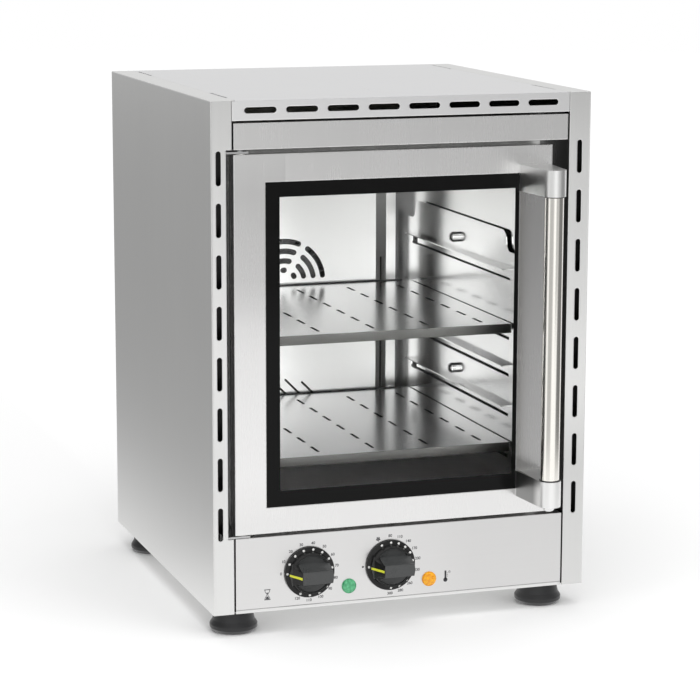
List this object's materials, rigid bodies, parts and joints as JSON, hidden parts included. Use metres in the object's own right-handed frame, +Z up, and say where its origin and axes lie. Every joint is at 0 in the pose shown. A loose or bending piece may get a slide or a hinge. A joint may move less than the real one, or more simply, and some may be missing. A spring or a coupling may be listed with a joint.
{
  "type": "convection oven",
  "caption": "Countertop convection oven: a steel case on rubber feet with a glazed side-hinged door, perforated shelves on side racks, a fan behind a grille, and knobs under the door.",
  "frame": {"origin": "middle of the whole oven's footprint, on the surface under the feet", "axes": "+Z up, the front with the door and the knobs faces -Y, +X is to the right seen from the front"},
  "size_m": [0.42, 0.552, 0.565],
  "materials": {
    "case_steel": "fine vertical brushing",
    "chamber_steel": "satin",
    "shelf_steel": "half gloss, reflects the chamber",
    "rack_steel": "bright",
    "fastener_steel": "plain",
    "hinge_steel": "plain",
    "handle_steel": "brushed along its length",
    "handle_cast": "polished nose, satin sides",
    "door_glass": "clear, with a black printed border",
    "rear_glass": "clear",
    "glass_spacer": "black",
    "seal_rubber": "matt",
    "foot_rubber": "matt, lightly polished top",
    "knob_plastic": "fine grain",
    "green_lens": "translucent dome",
    "orange_lens": "translucent, faceted inside",
    "bush_plastic": "plain",
    "body_plastic": "plain",
    "gland_plastic": "plain",
    "mineral_wool": "fibrous",
    "element_metal": "dark, oxidised",
    "fan_metal": "plain",
    "motor_metal": "dark",
    "shaft_steel": "ground",
    "magnet_white": "grey"
  },
  "bodies": {
    "case": {"air_baffle": "chamber_steel", "base_panel": "case_steel", "cable_gland": "gland_plastic", "case_screws": "fastener_steel", "chamber_back": "chamber_steel", "chamber_floor": "chamber_steel", "chamber_left_wall": "chamber_steel", "chamber_right_wall": "chamber_steel", "chamber_roof": "chamber_steel", "control_panel": "case_steel", "door_seal": "seal_rubber", "fan_motor": "motor_metal", "fascia": "case_steel", "foot_front_left": "foot_rubber", "foot_front_right": "foot_rubber", "foot_rear_left": "foot_rubber", "foot_rear_right": "foot_rubber", "front_frame": "chamber_steel", "green_lamp": "green_lens", "hinge_pins": "hinge_steel", "hinge_plate_bottom": "hinge_steel", "hinge_plate_top": "hinge_steel", "insulation_bottom": "mineral_wool", "insulation_rear": "mineral_wool", "insulation_wrap": "mineral_wool", "left_side_panel": "case_steel", "magnet_catch": "magnet_white", "motor_bracket": "hinge_steel", "motor_cover": "case_steel", "orange_lamp": "orange_lens", "rack_left": "rack_steel", "rack_nuts": "fastener_steel", "rack_right": "rack_steel", "rear_panel": "case_steel", "right_side_panel": "case_steel", "ring_element": "element_metal", "safety_thermostat": "body_plastic", "terminal_block": "body_plastic", "thermostat_body": "body_plastic", "timer_body": "body_plastic", "top_panel": "case_steel"},
    "door": {"door_outer_skin": "case_steel", "door_inner_pan": "chamber_steel", "outer_glass": "door_glass", "inner_glass": "rear_glass", "glass_rails": "glass_spacer", "handle_tube": "handle_steel", "handle_bracket_top": "handle_cast", "handle_bracket_bottom": "handle_cast", "door_screws": "fastener_steel", "hinge_bushes": "bush_plastic"},
    "timer_dial": {"timer_knob": "knob_plastic", "timer_shaft": "shaft_steel"},
    "thermostat_dial": {"thermostat_knob": "knob_plastic", "thermostat_shaft": "shaft_steel"},
    "fan": {"fan_impeller": "fan_metal", "motor_shaft": "shaft_steel", "fan_nut": "fastener_steel"},
    "shelf_upper": {"upper_shelf": "shelf_steel"},
    "shelf_lower": {"lower_shelf": "shelf_steel"}
  },
  "joints": [
    {"name": "door_hinge", "type": "hinge", "parent": "case", "child": "door", "pos_m": [-0.177, -0.2015, 0.3095], "axis": [0, 0, -1], "range_deg": [0, 110]},
    {"name": "timer_turn", "type": "hinge", "parent": "case", "child": "timer_dial", "pos_m": [-0.105, -0.209, 0.0645], "axis": [0, 1, 0], "range_deg": [0, 295]},
    {"name": "thermostat_turn", "type": "hinge", "parent": "case", "child": "thermostat_dial", "pos_m": [-0.014, -0.209, 0.0645], "axis": [0, 1, 0], "range_deg": [0, 270]},
    {"name": "fan_spin", "type": "hinge", "parent": "case", "child": "fan", "pos_m": [-0.015, 0.1755, 0.3134], "axis": [0, 1, 0], "continuous": true},
    {"name": "upper_shelf_slide", "type": "slide", "parent": "case", "child": "shelf_upper", "axis": [0, -1, 0], "range_m": [0, 0.012]},
    {"name": "lower_shelf_slide", "type": "slide", "parent": "case", "child": "shelf_lower", "axis": [0, -1, 0], "range_m": [0, 0.012]}
  ]
}
